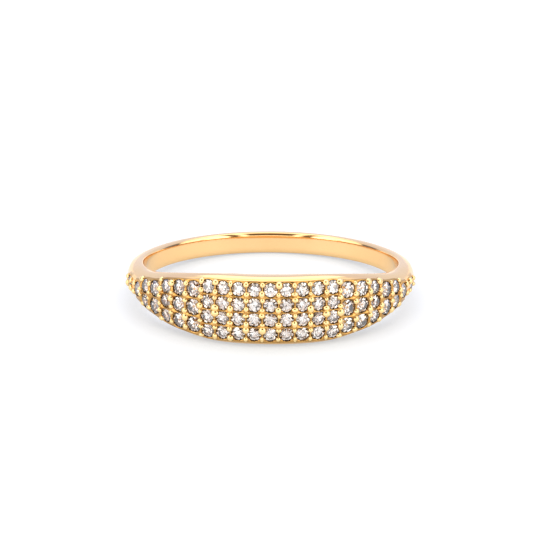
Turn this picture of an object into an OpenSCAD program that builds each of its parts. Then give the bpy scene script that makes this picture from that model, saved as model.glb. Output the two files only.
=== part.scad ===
// A finger ring that lies on its side: a slim shank that widens into a domed front,
// and a field of small round stones set in the dome with raised beads of metal.
// It rests on the lower edge of the dome and the lower edge of the shank, so its
// finger axis leans a few degrees and the dome stands a little higher than the back.

/* [Finger hole] */
// Inside diameter of the ring
finger_d = 17; // [16.6:0.1:18]

/* [Dome] */
// Metal thickness at the middle of the dome
dome_t = 1.38; // [1.34:0.02:1.5]
// Width of the dome at its middle, measured along the finger
dome_w = 4.58; // [4.5:0.02:4.8]
// Angle at which the side faces of the dome draw in towards the back, in degrees
taper = 14; // [13.5:0.5:14.5]
// How far in front of the finger axis the side faces start to draw in
shoulder_y = 8.5; // [8.4:0.05:8.6]
// Radius of the bend in each side face where it starts to draw in
shoulder_r = 4; // [3:0.5:5]
// Radius of the rounded edge between the domed surface and a side face
edge_r = 1.6; // [1.5:0.05:1.7]
// How far the rounded edge drops below the domed surface at the side face
edge_drop = 0.6; // [0.55:0.01:0.65]

/* [Shank] */
// Width of the shank, measured along the finger
shank_w = 1.46; // [1.4:0.02:1.6]
// Metal thickness of the shank
shank_t = 1.1; // [1.06:0.02:1.2]
// Radius of the rounded outside of the shank, seen in section
shank_round = 0.8; // [0.78:0.01:0.84]

/* [Shoulders] */
// Angle at which the shoulders narrow from the dome to the shank, in degrees
shoulder_taper = 3; // [2.8:0.1:3.2]
// How far behind the finger axis the shoulders run out into the shank
shoulder_back = 4; // [3.5:0.1:4.5]

/* [Stones] */
// Diameter of the stones in the middle of the dome
stone_d = 0.88; // [0.84:0.01:0.9]
// Angle between neighbouring columns of stones in the middle of the dome
column_step = 6.2; // [6.1:0.05:6.3]
// Depth of a stone's girdle below the metal surface
girdle_depth = 0.08; // [0.06:0.01:0.1]
// Gap between a stone and its seat
seat_gap = 0.03; // [0.02:0.01:0.03]
// Diameter of the raised beads that hold the stones
bead_d = 0.24; // [0.22:0.01:0.25]

/* [Hidden] */
$fn = 96;

finger_r = finger_d / 2;
dome_h = dome_w / 2;
shank_h = shank_w / 2;
shank_r = finger_r + shank_t;
// the domed surface is part of a ball, whose centre lies in front of the finger axis,
// and which dips just under the shank at the back
dip = 0.02;
ball_r = shank_r - dip;
ball_y = -(dome_t - shank_t + dip);
// room past the metal for shapes that are cut or meet inside it
reach = 2;
core_r = finger_r - reach;

// A column of stones on the flank: its angle from the middle of the dome, the number
// of stones in it, their diameter, and their spacing along the finger.
COL_ANGLE = 0;
COL_COUNT = 1;
COL_D = 2;
COL_PITCH = 3;
FLANK = [
    // angle, stones, diameter, spacing
    [31.0, 3, 1.04, 1.19],
    [38.0, 3, 0.98, 1.11],
    [44.8, 3, 0.86, 0.99],
    [51.6, 2, 1.02, 1.18],
    [58.6, 2, 0.90, 1.01],
    [65.7, 1, 0.94, 0],
    [77.5, 1, 0.84, 0]
];
middle_columns = 9;
middle_rows = 4;
row_pitch = 1.0;
middle_half = (middle_columns - 1) / 2;
MIDDLE = [for (i = [-middle_half : middle_half])
    [i * column_step, middle_rows, stone_d, row_pitch]];
COLUMNS = concat(
    [for (i = [len(FLANK) - 1 : -1 : 0]) concat([-FLANK[i][COL_ANGLE]],
        [for (k = [COL_COUNT : COL_PITCH]) FLANK[i][k]])],
    MIDDLE,
    FLANK
);
function row_z(c, k) = ((c[COL_COUNT] - 1) / 2 - k) * c[COL_PITCH];
// parts of a stone, as shares of its diameter, and the thickness of its girdle
table_share = 0.29;
crown_share = 0.15;
pavilion_share = 0.42;
girdle_t = 0.03;
// each stone: its angle, its height along the finger, its diameter
STONES = [for (c = COLUMNS) for (k = [0 : c[COL_COUNT] - 1])
    [c[COL_ANGLE], row_z(c, k), c[COL_D]]];

// the rounded edge of the dome, as a circle in the section of the ring
edge_lift = 0.05;
edge_z = dome_h - sqrt(pow(edge_r, 2) - pow(edge_r - edge_drop - edge_lift, 2));
edge_x = ball_r + edge_lift - edge_r;
edge_from = edge_z + 0.5;

// the same rounded edge along a tapering side face, which lies in a leaning plane
flank_r = 1.3;
flank_drop = 0.6;
flank_low = sqrt(pow(flank_r, 2) - pow(flank_r - flank_drop, 2));
flank_clear = 0.05;
function side_z(y) = dome_h - tan(taper) * (y + shoulder_y);
flank_y = ball_y - ball_r * (1 - cos(taper)) + flank_low * sin(taper);
flank_z = side_z(flank_y) + flank_clear;
// the shoulders have the same rounded edge, on a gentler slope round the finger axis
slope_y = flank_low * sin(shoulder_taper) - ball_r * (1 - cos(shoulder_taper));
// where they start, hidden inside the dome
shoulder_start = -4;
slope_z = shank_h + (shoulder_back - slope_y) * tan(shoulder_taper);

// Distance from the finger axis to the domed surface at an angle and a height. A column
// of stones at the edge of the dome stands on the rounded edge, not on the ball.
function off_centre(a, r) = -ball_y * cos(a) + sqrt(pow(r, 2) - pow(ball_y * sin(a), 2));
function ball_at(a, z) = off_centre(a, sqrt(pow(ball_r, 2) - pow(z, 2)));
function arc_at(x, r, z) = x + sqrt(pow(r, 2) - pow(z, 2));
function edge_at(a, z) = abs(z) < edge_from ? ball_r * 2
    : off_centre(a, arc_at(edge_x, edge_r, abs(z) - edge_z));
function flank_over(a, z, r) =
    let (dy = -r * cos(a) - flank_y, dz = abs(z) - flank_z,
        y = dy * cos(taper) - dz * sin(taper),
        h = dy * sin(taper) + dz * cos(taper) + flank_low)
    h < 0 ? -1 : norm([r * sin(a), y]) - arc_at(ball_r - flank_r, flank_r, h);
function settle(a, z, r, turns) =
    let (over = flank_over(a, z, r))
    turns == 0 || over < 0 ? r : settle(a, z, r - over, turns - 1);
function dome_r(a, z) = settle(a, z, min(ball_at(a, z), edge_at(a, z)), 4);
function dome_at(a, z) = let (r = dome_r(a, z)) [r * sin(a), -r * cos(a), z];
function unit(v) = v / norm(v);
probe_a = 1;
probe_z = 0.1;
function out_at(a, z) = unit(cross(
    dome_at(a + probe_a, z) - dome_at(a - probe_a, z),
    dome_at(a, z + probe_z) - dome_at(a, z - probe_z)));
// a frame on the surface: first axis along the finger, third axis straight out
function frame_at(a, z) =
    let (n = out_at(a, z), s = unit(cross(n, [0, 0, 1])), t = cross(s, n))
    [t, -s, n];

// the way the ring rests: a line that touches the bend of the lower side face and the
// lower outer corner of the shank is level
bend_steps = 6;
bend_y = -shoulder_y - shoulder_r * tan(taper / 2);
bend_z = -(dome_h - shoulder_r);
heel_y = shank_r - shank_round + sqrt(pow(shank_round, 2) - pow(shank_h, 2));
heel_z = -shank_h;
rest_tilt = asin(shoulder_r / norm([heel_y - bend_y, heel_z - bend_z]))
    + atan2(heel_z - bend_z, heel_y - bend_y);
rest_z = heel_y * sin(rest_tilt) - heel_z * cos(rest_tilt);
front_most = ball_y * cos(rest_tilt) - ball_r;
back_most = (shank_r - shank_round) * cos(rest_tilt) + shank_round;
rest_y = -(front_most + back_most) / 2;

// the beads stand in pairs between neighbouring columns, above and below each stone of
// the column that holds more of them, nearer to the smaller stones: angle and height
bead_share = 0.34;
bead_sink = 0.02;
function meeting(a, b) = a[COL_ANGLE]
    + (b[COL_ANGLE] - a[COL_ANGLE]) * a[COL_D] / (a[COL_D] + b[COL_D]);
function bead_pairs(a, b) =
    let (many = a[COL_COUNT] >= b[COL_COUNT] ? a : b)
    [for (k = [0 : many[COL_COUNT] - 1]) for (side = [-1, 1])
        [meeting(a, b), row_z(many, k) + side * bead_share * many[COL_D]]];
BEADS = [for (i = [0 : len(COLUMNS) - 2]) each bead_pairs(COLUMNS[i], COLUMNS[i + 1])];

module at_rest() {
    translate([0, rest_y, rest_z]) rotate([-rest_tilt, 0, 0]) children();
}

// everything inside the ball and the rounded edges of the dome
module dome_body() {
    intersection() {
        translate([0, ball_y, 0]) sphere(r = ball_r);
        translate([0, ball_y, 0]) rotate_extrude() edge_section();
        flank_body(flank_y, flank_z, taper);
        mirror([0, 0, 1]) flank_body(flank_y, flank_z, taper);
        side_faces();
    }
}

// the stretch on either side that widens from the shank to the dome
module shoulders() {
    intersection() {
        sphere(r = ball_r - dip);
        flank_body(slope_y, slope_z, shoulder_taper);
        mirror([0, 0, 1]) flank_body(slope_y, slope_z, shoulder_taper);
        translate([-ball_r, shoulder_start, -dome_h])
            cube([2 * ball_r, shoulder_back - shoulder_start, dome_w]);
    }
}

module edge_section() {
    height = dome_h + reach;
    for (side = [0, 1]) mirror([0, side]) intersection() {
        union() {
            translate([edge_x, edge_z]) circle(r = edge_r);
            square([edge_x, height]);
            square([ball_r + reach, edge_from]);
        }
        square([ball_r + reach, height]);
    }
}

module flank_body(y, z, lean) {
    depth = 2 * ball_r;
    translate([0, y, z]) rotate([-lean, 0, 0]) rotate_extrude() {
        intersection() {
            union() {
                translate([ball_r - flank_r, -flank_low]) circle(r = flank_r);
                translate([0, -depth]) square([ball_r - flank_r, depth]);
                translate([0, -depth]) square([ball_r + reach, depth - flank_low]);
            }
            translate([0, -depth]) square([ball_r + reach, depth]);
        }
    }
}

// the ring seen from its side: straight over the middle of the dome, a bend, and a
// straight taper towards the back
module side_faces() {
    tip_y = -shoulder_y + dome_h / tan(taper);
    front_y = -ball_r - reach;
    bend = [for (k = [0 : bend_steps]) let (turn = taper * k / bend_steps)
        [bend_y + shoulder_r * sin(turn), dome_h - shoulder_r * (1 - cos(turn))]];
    upper = concat([[front_y, dome_h]], bend, [[tip_y, 0]]);
    lower = [for (k = [len(upper) - 2 : -1 : 0]) [upper[k].x, -upper[k].y]];
    rotate([90, 0, 90]) linear_extrude(height = 2 * ball_r + reach, center = true)
        polygon(concat(upper, lower));
}

module shank() {
    rotate_extrude() intersection() {
        union() {
            translate([shank_r - shank_round, 0]) circle(r = shank_round);
            translate([core_r, -shank_h]) square([shank_r - shank_round - core_r, shank_w]);
        }
        translate([core_r, -shank_h]) square([shank_t + reach, shank_w]);
    }
}

module seat(d) {
    seat_r = d / 2 + seat_gap;
    floor_z = -girdle_depth - girdle_t - seat_gap;
    depth = 2 * seat_r * pavilion_share;
    translate([0, 0, floor_z]) cylinder(r = seat_r, h = reach);
    translate([0, 0, floor_z - depth]) cylinder(r1 = 0, r2 = seat_r, h = depth);
}

module on_dome(a, z) {
    f = frame_at(a, z);
    p = dome_at(a, z);
    multmatrix([
        [f[0].x, f[1].x, f[2].x, p.x],
        [f[0].y, f[1].y, f[2].y, p.y],
        [f[0].z, f[1].z, f[2].z, p.z]
    ]) children();
}

module band() {
    color("goldenrod") at_rest() difference() {
        union() {
            dome_body();
            shoulders();
            shank();
            for (b = BEADS) on_dome(b[0], b[1])
                translate([0, 0, -bead_sink]) sphere(r = bead_d / 2);
        }
        cylinder(r = finger_r, h = 2 * (dome_h + reach), center = true);
        for (s = STONES) on_dome(s[0], s[1]) seat(s[2]);
    }
}

// A stone: an eight-sided table, a crown of 24 facets, a girdle and a pointed back.
function circle_points(sides, r, z) =
    [for (k = [0 : sides - 1]) [r * cos(360 * k / sides), r * sin(360 * k / sides), z]];
function stone_points(d) = concat(
    circle_points(8, table_share * d, crown_share * d),
    circle_points(16, d / 2, 0),
    circle_points(16, d / 2, -girdle_t),
    [[0, 0, -girdle_t - pavilion_share * d]]);
function placed(s) =
    let (f = frame_at(s[0], s[1]), p = dome_at(s[0], s[1]) - girdle_depth * f[2])
    [for (q = stone_points(s[2])) p + q.x * f[0] + q.y * f[1] + q.z * f[2]];
stone_faces = let (top = 8, low = 24, tip = 40) concat(
    [[for (k = [0 : 7]) k]],
    [for (k = [0 : 7]) let (n = (k + 1) % 8, g = top + 2 * k, h = top + 2 * n)
        each [[k, g, g + 1], [k, g + 1, n], [n, g + 1, h]]],
    [for (k = [0 : 15]) let (n = (k + 1) % 16)
        each [[top + k, low + k, low + n, top + n], [low + k, tip, low + n]]]);
stone_size = 41;

module pave_stones() {
    color("white") at_rest() polyhedron(
        points = [for (s = STONES) each placed(s)],
        faces = [for (i = [0 : len(STONES) - 1]) for (f = stone_faces)
            [for (v = f) v + i * stone_size]]);
}

band();
pave_stones();
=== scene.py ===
import math
import random

import bmesh
import bpy
from mathutils import Matrix, Vector


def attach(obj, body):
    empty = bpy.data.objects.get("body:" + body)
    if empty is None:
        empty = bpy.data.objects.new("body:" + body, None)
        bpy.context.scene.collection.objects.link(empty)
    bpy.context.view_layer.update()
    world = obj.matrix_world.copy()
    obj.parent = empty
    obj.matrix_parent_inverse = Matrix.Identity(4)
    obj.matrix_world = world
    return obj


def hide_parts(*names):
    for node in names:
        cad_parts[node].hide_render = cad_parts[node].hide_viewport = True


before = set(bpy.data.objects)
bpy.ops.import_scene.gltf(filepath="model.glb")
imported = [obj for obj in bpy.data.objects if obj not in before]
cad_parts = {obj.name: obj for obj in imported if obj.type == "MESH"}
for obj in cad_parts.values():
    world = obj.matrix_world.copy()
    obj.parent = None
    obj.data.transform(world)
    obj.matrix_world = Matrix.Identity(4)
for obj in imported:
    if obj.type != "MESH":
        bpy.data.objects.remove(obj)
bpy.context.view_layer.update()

# The band: one casting of polished yellow gold, a slim shank that widens into a domed
# front whose outside is drilled with a field of small seats. It is built in millimetres
# round the finger axis, front towards -Y, and laid down as it rests at the end.
FINGER_R = 8.5
BALL_R = 9.58
BALL_Y = -0.30
SHANK_R = 9.6
DOME_H = 2.29
SHANK_H = 0.73
TAPER = math.radians(14)
SHOULDER_Y = -8.5
SHOULDER_BEND = 4.0
SHOULDER_SLOPE = math.tan(math.radians(3))
SHOULDER_BACK = 4.0
# how widely neighbouring curves of the outline run into each other
SHOULDER_BLEND = 0.1
WIDTH_BLEND = 0.25
CROWN_BLEND = 0.04
EDGE_BLEND = 0.03
# where the shank's own radius counts, in radians, and where the dome has faded into it
SHANK_FROM = 1.5
BACK_START, BACK_LENGTH = 72, 38
# from the finger axis in millimetres to the floor in metres
LEAN = math.radians(-4.9684)
REST = (0, 0.15597, 1.51774)
LIE = (Matrix.Diagonal((0.001, 0.001, 0.001, 1)) @ Matrix.Translation(REST)
       @ Matrix.Rotation(LEAN, 4, "X"))

# a column of stones: angle from the middle of the dome, stones, diameter, spacing
FLANK = [
    (31.0, 3, 1.04, 1.19),
    (38.0, 3, 0.98, 1.11),
    (44.8, 3, 0.86, 0.99),
    (51.6, 2, 1.02, 1.18),
    (58.6, 2, 0.90, 1.01),
    (65.7, 1, 0.94, 0.0),
    (77.5, 1, 0.84, 0.0),
]
COLUMN_STEP = 6.2
MIDDLE_COLUMNS = 9
MIDDLE = [((i - MIDDLE_COLUMNS // 2) * COLUMN_STEP, 4, 0.88, 1.0)
          for i in range(MIDDLE_COLUMNS)]
COLUMNS = [(-c[0], *c[1:]) for c in reversed(FLANK)] + MIDDLE + FLANK
SEAT_GAP = 0.03


def mix(a, b, t):
    return a + (b - a) * t


def soft_max(a, b, k):
    """The larger of two values, with the corner between them rounded over k."""
    h = max(k - abs(a - b), 0) / k
    return max(a, b) + h * h * k / 4


def soft_min(a, b, k):
    return -soft_max(-a, -b, k)


def ramp(x, points):
    """Straight lines between (x, value) points."""
    for (x0, v0), (x1, v1) in zip(points, points[1:]):
        if x <= x1:
            return mix(v0, v1, max(x - x0, 0) / (x1 - x0))
    return points[-1][1]


def half_width(y):
    """From the middle plane to a side face."""
    bend_start = SHOULDER_Y - SHOULDER_BEND * math.tan(TAPER / 2)
    bend_end = bend_start + SHOULDER_BEND * math.sin(TAPER)
    if y < bend_start:
        front = DOME_H
    elif y < bend_end:
        front = DOME_H - SHOULDER_BEND + math.sqrt(SHOULDER_BEND ** 2 - (y - bend_start) ** 2)
    else:
        front = DOME_H - math.tan(TAPER) * (y - SHOULDER_Y)
    back = soft_max(SHANK_H, SHANK_H + SHOULDER_SLOPE * (SHOULDER_BACK - y), SHOULDER_BLEND)
    return soft_max(front, back, WIDTH_BLEND)


def ball_radius(a, r):
    """Distance from the finger axis to the ball that shapes the dome."""
    return -BALL_Y * math.cos(a) + math.sqrt(r * r - (BALL_Y * math.sin(a)) ** 2)


def crown_radius(a):
    return soft_max(ball_radius(a, BALL_R), SHANK_R if abs(a) > SHANK_FROM else 0, CROWN_BLEND)


# the rounded outer edge at an angle: (degrees, radius, drop at the side face, lift)
EDGE_ROUND = [
    (0, 1.60, 0.65, 0.05),
    (24, 1.60, 0.65, 0.05),
    (34, 1.30, 0.60, 0.00),
    (72, 1.30, 0.60, 0.00),
    (110, 0.80, 0.473, 0.00),
    (180, 0.80, 0.473, 0.00),
]


def edge_round(a):
    d = abs(math.degrees(a))
    return [ramp(d, [(row[0], row[i]) for row in EDGE_ROUND]) for i in (1, 2, 3)]


def side_radius(a):
    _, drop, lift = edge_round(a)
    return crown_radius(a) + lift - drop


def outer_radius(a, z):
    """The outside of the ring: a ball in the middle, an arc towards each side face."""
    r, drop, lift = edge_round(a)
    top = crown_radius(a)
    low = math.sqrt(r * r - (r - drop) ** 2)
    over = abs(z) - (half_width(-side_radius(a) * math.cos(a)) - low)
    arc = top + lift - r + math.sqrt(max(r * r - max(over, 0) ** 2, 0))
    ball = ball_radius(a, math.sqrt(BALL_R ** 2 - z * z)) + top - ball_radius(a, BALL_R)
    back = min(max((abs(math.degrees(a)) - BACK_START) / BACK_LENGTH, 0), 1)
    return soft_min(mix(ball, top, back), arc, EDGE_BLEND)


def polar(a, r, z):
    """A point by its angle from the front, its radius and its height."""
    return Vector((r * math.sin(a), -r * math.cos(a), z))


def surface(a, z):
    return polar(a, outer_radius(a, z), z)


# how far either side of a place its slope is taken
PROBE_ANGLE = 0.02
PROBE_HEIGHT = 0.1


def stand_at(a, z):
    """A frame on the outside: across the ring, along the finger, straight out."""
    across = surface(a + PROBE_ANGLE, z) - surface(a - PROBE_ANGLE, z)
    along = surface(a, z + PROBE_HEIGHT) - surface(a, z - PROBE_HEIGHT)
    out = across.cross(along).normalized()
    across = across.normalized()
    along = out.cross(across).normalized()
    m = Matrix((across, along, out)).transposed().to_4x4()
    m.translation = surface(a, z)
    return m


# half the width of the field of stones at an angle, in degrees
FIELD_HALF = [
    (0, 2.00), (24.8, 1.98), (27.6, 1.88), (31, 1.785), (38, 1.665), (44.8, 1.50), (48, 1.36),
    (51.6, 1.20), (58.6, 1.04), (62, 0.86), (65.7, 0.66), (71, 0.60), (77.5, 0.57),
    (84, 0.55), (110, 0.45), (180, 0.45),
]
# cells of the section: field, margin, rounded edge, side face, bore
FIELD_CELLS = 24
MARGIN_CELLS = 4
ROUND_CELLS = 5
SIDE_CELLS = 2
BORE_CELLS = 6
SECTION = FIELD_CELLS + 2 * (MARGIN_CELLS + 2 * ROUND_CELLS + SIDE_CELLS) + BORE_CELLS
# cells round the ring: in each column of stones, and behind the last ones
COLUMN_CELLS = 8
BACK_CELLS = 96
# widths of the rounded edges at an angle: side face to outside, side face to bore
CROWN_EDGE = [(0, 0.18), (22, 0.18), (40, 0.24), (180, 0.27)]
BORE_EDGE = [(0, 0.10), (30, 0.12), (60, 0.18), (180, 0.18)]
# and how far that rounding runs down the bore
BORE_FALL = [(0, 0.12), (40, 0.16), (80, 0.34), (180, 0.42)]
# how deep the metal between the stones is cut away, at an angle
STREET_DEPTH = [
    (0, 0.10), (67.6, 0.10), (69.0, 0.0), (74.2, 0.0), (75.4, 0.06), (79.6, 0.06), (80.8, 0.0),
    (180, 0.0),
]
# how dark that metal is painted, as painted shade between 0 and 1
STREET_PAINTED_SHADE = 0.5
# the steps of a seat: share of its radius, height, painted shade; the first is its brim
SEAT_STEPS = [(1.1, -0.03, 0.5), (1.0, -0.05, 0.95), (0.97, -0.15, 0.9), (0.5, -0.36, 0.4),
              (0.2, -0.5, 0.4)]
BRIM_SHARE = 0.3
BRIM_WIDTH = 0.04
WALL_WIDTH = 0.06


def meeting(c, d):
    """The angle at which the tiles of two neighbouring columns meet."""
    return c[0] + (d[0] - c[0]) * c[2] / (c[2] + d[2])


# how far the tile of a stone without a near neighbour reaches, in degrees
LONE_REACH = 3.4
LONE_GAP = 10


def tile_spans():
    """Start, end and column of each stretch of the field; plain metal has no column."""
    start = COLUMNS[0][0] - LONE_REACH
    spans = []
    for c, d in zip(COLUMNS, COLUMNS[1:]):
        if d[0] - c[0] > LONE_GAP:
            spans += [(start, c[0] + LONE_REACH, c), (c[0] + LONE_REACH, d[0] - LONE_REACH, None)]
            start = d[0] - LONE_REACH
        else:
            spans.append((start, meeting(c, d), c))
            start = meeting(c, d)
    return spans + [(start, COLUMNS[-1][0] + LONE_REACH, COLUMNS[-1])]


SPANS = tile_spans()


def ring_angles():
    """The angle of each row of vertices round the ring, in radians."""
    angles = []
    for start, end, _ in SPANS:
        angles += [mix(start, end, i / COLUMN_CELLS) for i in range(COLUMN_CELLS)]
    start, end = SPANS[-1][1], SPANS[0][0] + 360
    angles += [mix(start, end, i / BACK_CELLS) for i in range(BACK_CELLS)]
    return [math.radians((a + 180) % 360 - 180) for a in angles]


ANGLES = ring_angles()


def bend(p, corner, q, t):
    """A point on the curve that rounds a corner."""
    return p.lerp(corner, t).lerp(corner.lerp(q, t), t)


def side_point(a, r):
    return polar(a, r, half_width(-r * math.cos(a)))


def section_point(a, j):
    """Vertex j of the section at angle a: field, margin, side face, bore, and back."""
    degrees = abs(math.degrees(a))
    field = ramp(degrees, FIELD_HALF)
    outer_r = side_radius(a)
    wide = half_width(-outer_r * math.cos(a))
    crown = ramp(degrees, CROWN_EDGE)
    bore = ramp(degrees, BORE_EDGE)
    margin = FIELD_CELLS + MARGIN_CELLS
    side = margin + ROUND_CELLS
    edge = side + SIDE_CELLS
    inside = edge + ROUND_CELLS
    if j > inside + BORE_CELLS // 2:
        p = section_point(a, (FIELD_CELLS - j) % SECTION)
        return Vector((p.x, p.y, -p.z))
    if j <= FIELD_CELLS:
        return surface(a, field * (2 * j / FIELD_CELLS - 1))
    if j <= margin:
        t = (j - FIELD_CELLS - 1) / (MARGIN_CELLS - 1)
        return surface(a, mix(field + WALL_WIDTH, wide - crown, t))
    if j <= side:
        ends = surface(a, wide - crown), side_point(a, outer_r - crown)
        return bend(ends[0], surface(a, wide), ends[1], (j - margin) / ROUND_CELLS)
    if j <= edge:
        return side_point(a, mix(outer_r - crown, FINGER_R + bore, (j - side) / SIDE_CELLS))
    corner = side_point(a, FINGER_R)
    below = corner - Vector((0, 0, ramp(degrees, BORE_FALL)))
    if j <= inside:
        return bend(side_point(a, FINGER_R + bore), corner, below, (j - edge) / ROUND_CELLS)
    return polar(a, FINGER_R, below.z * (1 - (j - inside) / (BORE_CELLS / 2)))


def edges_round(bm, loop):
    """The edges of a closed loop of vertices."""
    return [bm.edges.get((loop[i - 1], loop[i])) for i in range(len(loop))]


def step_in(bm, loop, place):
    """Extrudes a closed loop of vertices and puts the new ones where place(i) says."""
    made = bmesh.ops.extrude_edge_only(bm, edges=edges_round(bm, loop))["geom"]
    new = {v for v in made if isinstance(v, bmesh.types.BMVert)}
    turned = []
    for v in loop:
        turned.append(next(e.other_vert(v) for e in v.link_edges if e.other_vert(v) in new))
    for i, v in enumerate(turned):
        v.co = place(i)
    return turned


def cut_seat(bm, grid, first, column, row, painted_shade):
    """Opens the grid round one stone and steps its edge down to a round seat."""
    angle, count, d, pitch = column
    tall = FIELD_CELLS // count
    low = FIELD_CELLS - (row + 1) * tall
    us = range(first, first + COLUMN_CELLS)
    vs = range(low, low + tall)
    corner = {grid[u][v] for u in (*us, first + COLUMN_CELLS) for v in (*vs, low + tall)}
    faces = {f for v in corner for f in v.link_faces if all(w in corner for w in f.verts)}
    loop = [grid[u][low] for u in us]
    loop += [grid[first + COLUMN_CELLS][v] for v in vs]
    loop += [grid[u][low + tall] for u in range(first + COLUMN_CELLS, first, -1)]
    loop += [grid[first][v] for v in range(low + tall, low, -1)]
    bmesh.ops.delete(bm, geom=list(faces), context="FACES")
    stand = stand_at(math.radians(angle), ((count - 1) / 2 - row) * pitch)
    flat = [(stand.inverted() @ v.co) for v in loop]
    turns = [math.atan2(p.y, p.x) for p in flat]
    far = [math.hypot(p.x, p.y) for p in flat]
    seat_r = d / 2 + SEAT_GAP
    sharp = []
    for radius, height, painted_dark in SEAT_STEPS:
        def place(i):
            brim = min(mix(seat_r, far[i], BRIM_SHARE), seat_r + BRIM_WIDTH)
            r = seat_r * radius if radius <= 1 else brim
            return stand @ Vector((r * math.cos(turns[i]), r * math.sin(turns[i]), height))
        loop = step_in(bm, loop, place)
        # each step of the seat is painted with shade, darkest down its wall
        for v in loop:
            v[painted_shade] = painted_dark
        if painted_dark:
            sharp += edges_round(bm, loop)
    bmesh.ops.contextual_create(bm, geom=edges_round(bm, loop))
    return sharp


# the plain hoop that the ring is shaped from
HOOP_R = 9


def body_mesh():
    """A plain hoop is spun, shaped to the ring, and its field is cut for the stones."""
    bm = bmesh.new()
    steps = len(ANGLES)
    painted_shade = bm.verts.layers.float.new("painted_shade")
    upright = Matrix.Translation((0, -HOOP_R, 0)) @ Matrix.Rotation(math.pi / 2, 4, "Y")
    bmesh.ops.create_circle(bm, segments=SECTION, radius=1, matrix=upright)
    bmesh.ops.spin(bm, geom=bm.edges[:], axis=(0, 0, 1), cent=(0, 0, 0), angle=2 * math.pi,
                   steps=steps, use_merge=True)
    grid = [[None] * SECTION for _ in range(steps)]
    for v in bm.verts:
        turn = math.atan2(v.co.x, -v.co.y)
        lean = math.atan2(v.co.z, math.hypot(v.co.x, v.co.y) - HOOP_R)
        u = round(turn / (2 * math.pi) * steps) % steps
        grid[u][round(lean / (2 * math.pi) * SECTION) % SECTION] = v
    for u, a in enumerate(ANGLES):
        for j in range(SECTION):
            grid[u][j].co = section_point(a, j)
    bmesh.ops.recalc_face_normals(bm, faces=bm.faces)
    bm.normal_update()
    # the metal between the stones is sunk, and painted with shade in step with how deep it is cut
    for u in range(len(SPANS) * COLUMN_CELLS + 1):
        sunk = ramp(abs(math.degrees(ANGLES[u])), STREET_DEPTH)
        for j in range(FIELD_CELLS + 1):
            grid[u][j].co -= grid[u][j].normal * sunk
            grid[u][j][painted_shade] = STREET_PAINTED_SHADE * sunk / STREET_DEPTH[0][1]
    sharp = []
    for i, (_, _, column) in enumerate(SPANS):
        for row in range(column[1] if column else 0):
            sharp += cut_seat(bm, grid, i * COLUMN_CELLS, column, row, painted_shade)
    for e in sharp:
        e.smooth = False
    bmesh.ops.recalc_face_normals(bm, faces=bm.faces)
    return bm


def finished(bm, name, material, smooth=True):
    """Lays a mesh down as the ring rests and makes it an object."""
    bmesh.ops.transform(bm, matrix=LIE, verts=bm.verts)
    mesh = bpy.data.meshes.new(name)
    bm.to_mesh(mesh)
    bm.free()
    for p in mesh.polygons:
        p.use_smooth = smooth
    mesh.materials.append(material)
    obj = bpy.data.objects.new(name, mesh)
    bpy.context.scene.collection.objects.link(obj)
    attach(obj, "root")
    return obj


def group_of(name, sockets):
    """An empty node group with the sockets (name, kind, in or out)."""
    g = bpy.data.node_groups.new(name, "ShaderNodeTree")
    for label, kind, way in sockets:
        g.interface.new_socket(name=label, in_out=way, socket_type="NodeSocket" + kind)
    return g


def add(tree, kind, **values):
    """A node of a kind, with its sockets and settings given by name."""
    node = tree.nodes.new("ShaderNode" + kind)
    for key, value in values.items():
        if key in node.inputs:
            node.inputs[key].default_value = value
        else:
            setattr(node, key, value)
    return node


def stretch(tree, low, high, to_low=0.0, to_high=1.0):
    """A node that maps low to high onto two other values."""
    node = add(tree, "MapRange")
    ends = (("From Min", low), ("From Max", high), ("To Min", to_low), ("To Max", to_high))
    for label, value in ends:
        node.inputs[label].default_value = value
    return node


# polishing marks: sizes of the noise per metre, and how rough and how deep they are
CLOUD_SCALE = 420.0
FINE_SCALE = 5200.0
MARK_SCALE = 2600.0
MARK_STRETCH = (1.0, 1.0, 7.0)
POLISH_ROUGHNESS = (0.05, 0.13)
MARK_STRENGTH = 0.012
MARK_DEPTH = 0.00002


def polish_group():
    """Faint polishing marks: a slow change of tone, fine roughness, and shallow lines."""
    g = group_of("polish", [("Tone", "Float", "OUTPUT"), ("Roughness", "Float", "OUTPUT"),
                            ("Normal", "Vector", "OUTPUT")])
    out = g.nodes.new("NodeGroupOutput")
    place = add(g, "TexCoord")
    cloud = add(g, "TexNoise", Scale=CLOUD_SCALE, Detail=3.0, Roughness=0.55)
    fine = add(g, "TexNoise", Scale=FINE_SCALE, Detail=4.0, Roughness=0.6)
    drawn = add(g, "Mapping")
    drawn.inputs["Scale"].default_value = MARK_STRETCH
    marks = add(g, "TexNoise", Scale=MARK_SCALE, Detail=5.0, Roughness=0.7)
    bump = add(g, "Bump", Strength=MARK_STRENGTH, Distance=MARK_DEPTH)
    spread = stretch(g, 0.3, 0.7, *POLISH_ROUGHNESS)
    for node in (cloud, fine, drawn):
        g.links.new(place.outputs["Object"], node.inputs["Vector"])
    g.links.new(drawn.outputs["Vector"], marks.inputs["Vector"])
    g.links.new(cloud.outputs["Fac"], out.inputs["Tone"])
    g.links.new(fine.outputs["Fac"], spread.inputs["Value"])
    g.links.new(spread.outputs["Result"], out.inputs["Roughness"])
    g.links.new(marks.outputs["Fac"], bump.inputs["Height"])
    g.links.new(bump.outputs["Normal"], out.inputs["Normal"])
    return g


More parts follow.
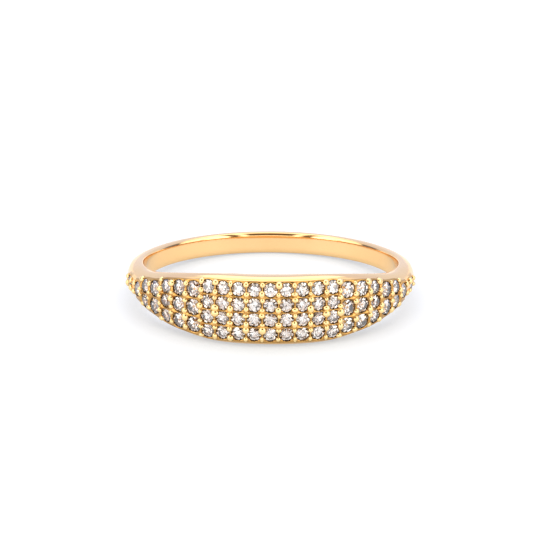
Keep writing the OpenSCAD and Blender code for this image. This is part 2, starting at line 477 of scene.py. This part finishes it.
def crevice_shade_group():
    """Metal painted a deeper and then a darker tone by the painted shade kept on its vertices."""
    g = group_of("crevice_shade", [("Metal", "Color", "INPUT"), ("Painted Deep", "Color", "INPUT"),
                             ("Painted Dark", "Color", "INPUT"), ("Color", "Color", "OUTPUT")])
    metal_in = g.nodes.new("NodeGroupInput")
    out = g.nodes.new("NodeGroupOutput")
    painted_shade = add(g, "Attribute", attribute_name="painted_shade")
    colour = metal_in.outputs["Metal"]
    for label, low, high in (("Painted Deep", 0.0, 0.5), ("Painted Dark", 0.5, 1.0)):
        share = stretch(g, low, high)
        blend = add(g, "Mix", data_type="RGBA")
        g.links.new(painted_shade.outputs["Fac"], share.inputs["Value"])
        g.links.new(share.outputs["Result"], blend.inputs["Factor"])
        g.links.new(colour, blend.inputs["A"])
        g.links.new(metal_in.outputs[label], blend.inputs["B"])
        colour = blend.outputs["Result"]
    g.links.new(colour, out.inputs["Color"])
    return g


POLISH = polish_group()
CREVICE_SHADE = crevice_shade_group()
# gold seen at a flat angle is a little paler
EDGE_TINT = (1.0, 0.96, 0.9, 1.0)


def place_group(tree, group):
    node = tree.nodes.new("ShaderNodeGroup")
    node.node_tree = group
    return node


def metal(name, warm, pale, painted_deep, painted_dark):
    """Polished gold between two tones, with painted shade: a deep tone in grooves and a dark one
    in seats.
    """
    m = bpy.data.materials.new(name)
    m.use_nodes = True
    tree = m.node_tree
    tree.nodes.clear()
    out = add(tree, "OutputMaterial")
    shader = add(tree, "BsdfPrincipled", Metallic=1.0)
    shader.inputs["Specular Tint"].default_value = EDGE_TINT
    polish = place_group(tree, POLISH)
    crevice_shade = place_group(tree, CREVICE_SHADE)
    crevice_shade.inputs["Painted Deep"].default_value = painted_deep
    crevice_shade.inputs["Painted Dark"].default_value = painted_dark
    tone = add(tree, "Mix", data_type="RGBA")
    tone.inputs["A"].default_value = warm
    tone.inputs["B"].default_value = pale
    tree.links.new(polish.outputs["Tone"], tone.inputs["Factor"])
    tree.links.new(tone.outputs["Result"], crevice_shade.inputs["Metal"])
    tree.links.new(crevice_shade.outputs["Color"], shader.inputs["Base Color"])
    tree.links.new(polish.outputs["Roughness"], shader.inputs["Roughness"])
    tree.links.new(polish.outputs["Normal"], shader.inputs["Normal"])
    tree.links.new(shader.outputs["BSDF"], out.inputs["Surface"])
    return m


# the deep and dark tones of the band are painted shade for the cut-away metal and the seats
gold = metal("polished_gold", warm=(0.95, 0.59, 0.26, 1), pale=(0.97, 0.65, 0.32, 1),
             painted_deep=(0.60, 0.33, 0.10, 1), painted_dark=(0.15, 0.065, 0.025, 1))
band = finished(body_mesh(), "gold_band", gold)
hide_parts("band")

# The beads: small burrs of the same gold, raised from the metal between the seats with a
# graver and burnished round over the edges of the stones, two by every row of stones
# between neighbouring columns. They are one mesh that stands in the band's surface.
BEAD_R = 0.21
BEAD_SIZES = (0.82, 1.2)
BEAD_WIDTHS = (0.8, 1.3)
BEAD_STRAY = 0.035
BEAD_SINK = 0.02
# from the middle of a row to its beads, as a share of the stone, and beside lone stones
BEAD_RISE = 0.34
LONE_SHARE = 0.3
# the two beads past the last stones: degrees away, millimetres above and below
END_BEADS = (3.2, 0.20)
# painted shade on a bead by its height: its foot is painted dark, its top keeps the bright bead
# gold
BEAD_PAINTED_SHADE = [(-0.06, 1.0), (0.0, 0.6), (0.04, 0.25), (0.08, 0.0)]
bead_random = random.Random(5)


def bead_places():
    """The angle and height of every bead."""
    places = []
    for c, d in zip(COLUMNS, COLUMNS[1:]):
        many = c if c[1] >= d[1] else d
        apart = d[0] - c[0]
        angles = [meeting(c, d)]
        if apart > LONE_GAP:
            angles = [c[0] + apart * LONE_SHARE, d[0] - apart * LONE_SHARE]
        for angle in angles:
            for row in range(many[1]):
                z = ((many[1] - 1) / 2 - row) * many[3]
                for side in (-1, 1):
                    places.append((angle, z + side * BEAD_RISE * many[2]))
    for c in (COLUMNS[0], COLUMNS[-1]):
        for side in (-1, 1):
            places.append((c[0] + math.copysign(END_BEADS[0], c[0]), side * END_BEADS[1]))
    return places


def beads_mesh():
    bm = bmesh.new()
    painted_shade = bm.verts.layers.float.new("painted_shade")
    for a, z in bead_places():
        r = BEAD_R * bead_random.uniform(*BEAD_SIZES)
        wide = r * bead_random.uniform(*BEAD_WIDTHS)
        long = r * bead_random.uniform(*BEAD_WIDTHS)
        size = Matrix.Diagonal((wide, long, r, 1))
        spin = Matrix.Rotation(bead_random.uniform(0, math.pi), 4, "Z")
        stray = [bead_random.uniform(-BEAD_STRAY, BEAD_STRAY) for _ in range(2)]
        stand = stand_at(math.radians(a), z)
        nudge = Matrix.Translation((*stray, -BEAD_SINK))
        bead = bmesh.ops.create_icosphere(bm, subdivisions=2, radius=1,
                                          matrix=stand @ nudge @ size @ spin)
        # painted shade on each bead, darkest at its foot
        for v in bead["verts"]:
            v[painted_shade] = ramp((stand.inverted() @ v.co).z, BEAD_PAINTED_SHADE)
    return bm


# painted light: the beads get a paler copy of the band's gold so that they read brighter than the
# metal round them, with painted shade in its deep and dark tones at their feet
bead_gold = metal("bead_gold_painted_bright", warm=(0.98, 0.69, 0.30, 1), pale=(1.0, 0.77, 0.39, 1),
                  painted_deep=(0.62, 0.34, 0.10, 1), painted_dark=(0.14, 0.06, 0.02, 1))
beads = finished(beads_mesh(), "gold_beads", bead_gold)

# The stones: 66 clear round stones, each cut with a flat table, eight facets round it, a
# thin girdle and eight facets that run to a point below. Each sits in its own seat under
# the beads, and all of them are one joined piece.
STONE_SIDES = 32
CUTS = [
    # facets, slope, height at which they leave the girdle
    (8, 34.5, 0.0),
    (8, 180 - 42.6, -0.03),
]
TABLE_HEIGHT = 0.144
BELOW_GIRDLE = 0.5
CUT_EDGE = 1e-5
DOUBLES = 1e-4
# how deep a stone's girdle lies, how far it may sit low or high, and how far it may lean,
# in millimetres and degrees
GIRDLE_DEPTH = 0.08
SIT_LOW, SIT_HIGH = -0.01, 0.015
STONE_LEAN = 2.5
stone_random = random.Random(11)
# painted shade: the facets that look this way are painted darker
SHADOW_SIDE = Vector((-0.5, 0.3, 0.8))
# painted darkness of a facet, standing in for dark reflections: a random share, and a share by
# how far it faces that way
FACET_DARK_RANGE = (-0.4, 1.0)
FACING_PAINTED_SHADE = 0.6
# a table, the facet that faces straight out, is painted at most this dark
TABLE_PAINTED_DARK = 0.25
TABLE_FACING = 0.95


def stone_mesh():
    """One stone of diameter 1, with its girdle's top at height 0, cut from a cylinder."""
    bm = bmesh.new()
    middle = Matrix.Translation((0, 0, (TABLE_HEIGHT - BELOW_GIRDLE) / 2))
    bmesh.ops.create_cone(bm, cap_ends=True, segments=STONE_SIDES, radius1=0.5, radius2=0.5,
                          depth=TABLE_HEIGHT + BELOW_GIRDLE, matrix=middle)
    for facets, slope, height in CUTS:
        for k in range(facets):
            turn = math.radians(k * 360 / facets)
            s = math.radians(slope)
            side = Vector((math.cos(turn), math.sin(turn), 0))
            cut = bmesh.ops.bisect_plane(
                bm, geom=bm.verts[:] + bm.edges[:] + bm.faces[:], dist=CUT_EDGE, clear_outer=True,
                plane_co=side * 0.5 + Vector((0, 0, height)),
                plane_no=side * math.sin(s) + Vector((0, 0, math.cos(s))))
            edges = [e for e in cut["geom_cut"] if isinstance(e, bmesh.types.BMEdge)]
            if len(edges) > 2:
                bmesh.ops.contextual_create(bm, geom=edges)
    bmesh.ops.remove_doubles(bm, verts=bm.verts, dist=DOUBLES)
    bmesh.ops.recalc_face_normals(bm, faces=bm.faces)
    mesh = bpy.data.meshes.new("stone_cut")
    bm.to_mesh(mesh)
    bm.free()
    return mesh


def stones_mesh():
    """A copy of the stone in every seat, with painted darkness of its own on each facet, standing
    in for its reflections and shade.
    """
    one = stone_mesh()
    bm = bmesh.new()
    facet_dark_layer = bm.faces.layers.float.new("facet_painted_dark")
    for angle, count, d, pitch in COLUMNS:
        for row in range(count):
            stand = stand_at(math.radians(angle), ((count - 1) / 2 - row) * pitch)
            height = -GIRDLE_DEPTH + stone_random.uniform(SIT_LOW, SIT_HIGH)
            sunk = Matrix.Translation((0, 0, height))
            turn = Matrix.Rotation(stone_random.uniform(0, math.pi / 4), 4, "Z")
            lean = Matrix.Identity(4)
            for axis in "XY":
                tip = math.radians(stone_random.uniform(-STONE_LEAN, STONE_LEAN))
                lean = lean @ Matrix.Rotation(tip, 4, axis)
            size = Matrix.Diagonal((d, d, d, 1))
            verts, faces = len(bm.verts), len(bm.faces)
            bm.from_mesh(one)
            bm.verts.ensure_lookup_table()
            bm.faces.ensure_lookup_table()
            bmesh.ops.transform(bm, matrix=stand @ sunk @ lean @ turn @ size,
                                verts=bm.verts[verts:])
            for face in bm.faces[faces:]:
                face.normal_update()
                is_table = face.normal.dot(stand.col[2].to_3d()) > TABLE_FACING
                # painted darkness: random by facet, more on facets turned to the shadow side, and
                # little on the table
                painted_dark = stone_random.uniform(*FACET_DARK_RANGE)
                painted_dark += FACING_PAINTED_SHADE * face.normal.dot(SHADOW_SIDE)
                face[facet_dark_layer] = min(max(painted_dark, 0), TABLE_PAINTED_DARK if is_table else 1)
    return bm


# the stone's own colour, the painted brown of its darker facets, and the painted dimming of soft
# patches with their size; the brown and the dimming stand in for reflections and shade
CLEAR = (1.0, 0.985, 0.955, 1)
PAINTED_FACET_BROWN = (0.57, 0.41, 0.34, 1)
PAINTED_DIM_PATCH = (0.91, 0.82, 0.77, 1)
DIM_PATCH_SIZE = 3600.0


def clear_stone():
    """Colourless stone, painted brown on its darker facets and dimmed in soft patches, both
    standing in for dark reflections and shade.
    """
    m = bpy.data.materials.new("clear_stone")
    m.use_nodes = True
    tree = m.node_tree
    tree.nodes.clear()
    out = add(tree, "OutputMaterial")
    shader = add(tree, "BsdfPrincipled", Roughness=0.0, IOR=2.4)
    shader.inputs["Transmission Weight"].default_value = 1.0
    facet_darkness = add(tree, "Attribute", attribute_name="facet_painted_dark")
    tone = add(tree, "Mix", data_type="RGBA")
    tone.inputs["A"].default_value = CLEAR
    tone.inputs["B"].default_value = PAINTED_FACET_BROWN
    place = add(tree, "TexCoord")
    cloud = add(tree, "TexNoise", Scale=DIM_PATCH_SIZE, Detail=2.0)
    patch = stretch(tree, 0.42, 0.60)
    dimmed_patches = add(tree, "Mix", data_type="RGBA", blend_type="MULTIPLY")
    dimmed_patches.inputs["B"].default_value = PAINTED_DIM_PATCH
    tree.links.new(facet_darkness.outputs["Fac"], tone.inputs["Factor"])
    tree.links.new(place.outputs["Object"], cloud.inputs["Vector"])
    tree.links.new(cloud.outputs["Fac"], patch.inputs["Value"])
    tree.links.new(patch.outputs["Result"], dimmed_patches.inputs["Factor"])
    tree.links.new(tone.outputs["Result"], dimmed_patches.inputs["A"])
    tree.links.new(dimmed_patches.outputs["Result"], shader.inputs["Base Color"])
    tree.links.new(shader.outputs["BSDF"], out.inputs["Surface"])
    return m


stones = finished(stones_mesh(), "pave_field", clear_stone(), smooth=False)
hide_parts("pave_stones")

# The stage: a matt white floor, and three soft lights above and to the sides. None of it
# is part of the ring.
FLOOR_SIDE = 1.6
FLOOR_WHITE = (0.475, 0.47, 0.46, 1)
FLOOR_GLOW = 0.53


def floor_white():
    m = bpy.data.materials.new("floor_white")
    m.use_nodes = True
    shader = m.node_tree.nodes["Principled BSDF"]
    shader.inputs["Base Color"].default_value = FLOOR_WHITE
    shader.inputs["Roughness"].default_value = 0.6
    shader.inputs["Specular IOR Level"].default_value = 0.2
    shader.inputs["Emission Color"].default_value = (1, 1, 1, 1)
    shader.inputs["Emission Strength"].default_value = FLOOR_GLOW
    return m


def floor_mesh():
    bm = bmesh.new()
    bmesh.ops.create_grid(bm, x_segments=1, y_segments=1, size=FLOOR_SIDE / 2)
    mesh = bpy.data.meshes.new("floor")
    bm.to_mesh(mesh)
    bm.free()
    mesh.materials.append(floor_white())
    return mesh


floor = bpy.data.objects.new("floor", floor_mesh())
bpy.context.scene.collection.objects.link(floor)


def softbox(name, place, width, height, watts):
    """A soft light that faces the ring."""
    data = bpy.data.lights.new(name, "AREA")
    data.shape = "RECTANGLE"
    data.size, data.size_y = width, height
    data.energy = watts
    light = bpy.data.objects.new(name, data)
    light.location = place
    light.rotation_euler = (-Vector(place)).to_track_quat("-Z", "Y").to_euler()
    bpy.context.scene.collection.objects.link(light)


softbox("top_light", (0, 0.10, 0.34), 0.46, 0.20, 0.25)
softbox("left_light", (-0.35, -0.05, 0.12), 0.16, 0.16, 0.10)
softbox("right_light", (0.35, -0.05, 0.12), 0.16, 0.16, 0.10)

# The room that the metal and the stones mirror: pale behind and above the ring, a dark
# patch behind the camera with a pale card on either side of it, and dimmer far ends. Its
# colours run from the horizon behind the ring over the top to the one behind the camera.
ROOM_STOPS = [
    # share of the half turn, colour
    (0.00, (0.92, 0.98, 1.22, 1)), (0.05, (0.90, 1.00, 1.28, 1)), (0.12, (0.88, 1.00, 1.38, 1)),
    (0.20, (0.84, 0.93, 1.40, 1)), (0.33, (0.88, 0.97, 1.35, 1)), (0.48, (1.35, 1.35, 1.30, 1)),
    (0.60, (1.60, 1.60, 1.40, 1)), (0.65, (0.17, 0.13, 0.10, 1)), (0.89, (0.20, 0.155, 0.115, 1)),
    (0.94, (2.30, 2.30, 2.30, 1)), (1.00, (2.30, 2.30, 2.30, 1)),
]
CARD_STOPS = [
    # share of the way out to either side, colour, how far it covers the colours above
    (0.00, (1.00, 1.00, 1.00, 0)), (0.32, (2.60, 2.55, 2.50, 0)), (0.40, (2.60, 2.55, 2.50, 1)),
    (0.50, (0.20, 0.155, 0.12, 1)), (0.58, (0.20, 0.155, 0.12, 1)), (0.64, (2.70, 2.65, 2.60, 1)),
    (1.00, (2.20, 2.15, 2.10, 1)),
]
CARDS_FROM = 0.6
ENDS = (0.84, 0.93)
ENDS_LIGHT = 0.25
world = bpy.data.worlds.new("studio")
world.use_nodes = True
bpy.context.scene.world = world
room = world.node_tree
room.nodes.clear()


def colour_ramp(stops):
    node = add(room, "ValToRGB")
    while len(node.color_ramp.elements) < len(stops):
        node.color_ramp.elements.new(0.5)
    for stop, (share, colour) in zip(node.color_ramp.elements, stops):
        stop.position = share
        stop.color = colour
    return node


def maths(operation, first, second=None):
    """A sum on two sockets, or on a socket and a number."""
    node = add(room, "Math", operation=operation)
    room.links.new(first, node.inputs[0])
    if isinstance(second, bpy.types.NodeSocket):
        room.links.new(second, node.inputs[1])
    elif second is not None:
        node.inputs[1].default_value = second
    return node.outputs[0]


look = add(room, "SeparateXYZ")
room.links.new(add(room, "TexCoord").outputs["Generated"], look.inputs["Vector"])
turned = maths("DIVIDE", maths("ARCTAN2", look.outputs["Z"], look.outputs["Y"]), math.pi)
aside = maths("ABSOLUTE", look.outputs["X"])
overhead = colour_ramp(ROOM_STOPS)
cards = colour_ramp(CARD_STOPS)
room.links.new(turned, overhead.inputs["Fac"])
room.links.new(aside, cards.inputs["Fac"])
covered = add(room, "Mix", data_type="RGBA")
in_front = maths("GREATER_THAN", turned, CARDS_FROM)
room.links.new(maths("MULTIPLY", cards.outputs["Alpha"], in_front), covered.inputs["Factor"])
room.links.new(overhead.outputs["Color"], covered.inputs["A"])
room.links.new(cards.outputs["Color"], covered.inputs["B"])
ends = stretch(room, *ENDS, 1.0, ENDS_LIGHT)
dimmed = add(room, "VectorMath", operation="SCALE")
background = add(room, "Background", Strength=1.0)
room.links.new(aside, ends.inputs["Value"])
room.links.new(covered.outputs["Result"], dimmed.inputs[0])
room.links.new(ends.outputs["Result"], dimmed.inputs["Scale"])
room.links.new(dimmed.outputs["Vector"], background.inputs["Color"])
room.links.new(background.outputs["Background"], add(room, "OutputWorld").inputs["Surface"])

# The camera: in front of the ring and about 20 degrees above the floor, far enough
# back for a long lens, and turned a third of a degree as in the photo.
CAMERA_UP = math.radians(19.768)
CAMERA_FAR = 0.25
CAMERA_ROLL = math.radians(0.31)
AIM = Vector((0, 0.000156, 0.001518))
FRAME_PIXELS = 533
camera_data = bpy.data.cameras.new("camera")
camera_data.sensor_width = 36.0
camera_data.lens = 251.4
camera_data.shift_x = -4.2 / FRAME_PIXELS
camera_data.shift_y = 7.7 / FRAME_PIXELS
camera_data.clip_start = 0.01
camera_data.clip_end = 10.0
camera = bpy.data.objects.new("camera", camera_data)
back = Vector((0, -math.cos(CAMERA_UP), math.sin(CAMERA_UP)))
camera.location = AIM + back * CAMERA_FAR
turn = (-back).to_track_quat("-Z", "Y").to_matrix().to_4x4()
camera.rotation_euler = (turn @ Matrix.Rotation(CAMERA_ROLL, 4, "Z")).to_euler()
bpy.context.scene.collection.objects.link(camera)
bpy.context.scene.camera = camera

view = bpy.context.scene.view_settings
view.view_transform = "Standard"
view.look = "None"
view.exposure = 0.0
bpy.context.scene.cycles.caustics_reflective = False
bpy.context.scene.cycles.caustics_refractive = False
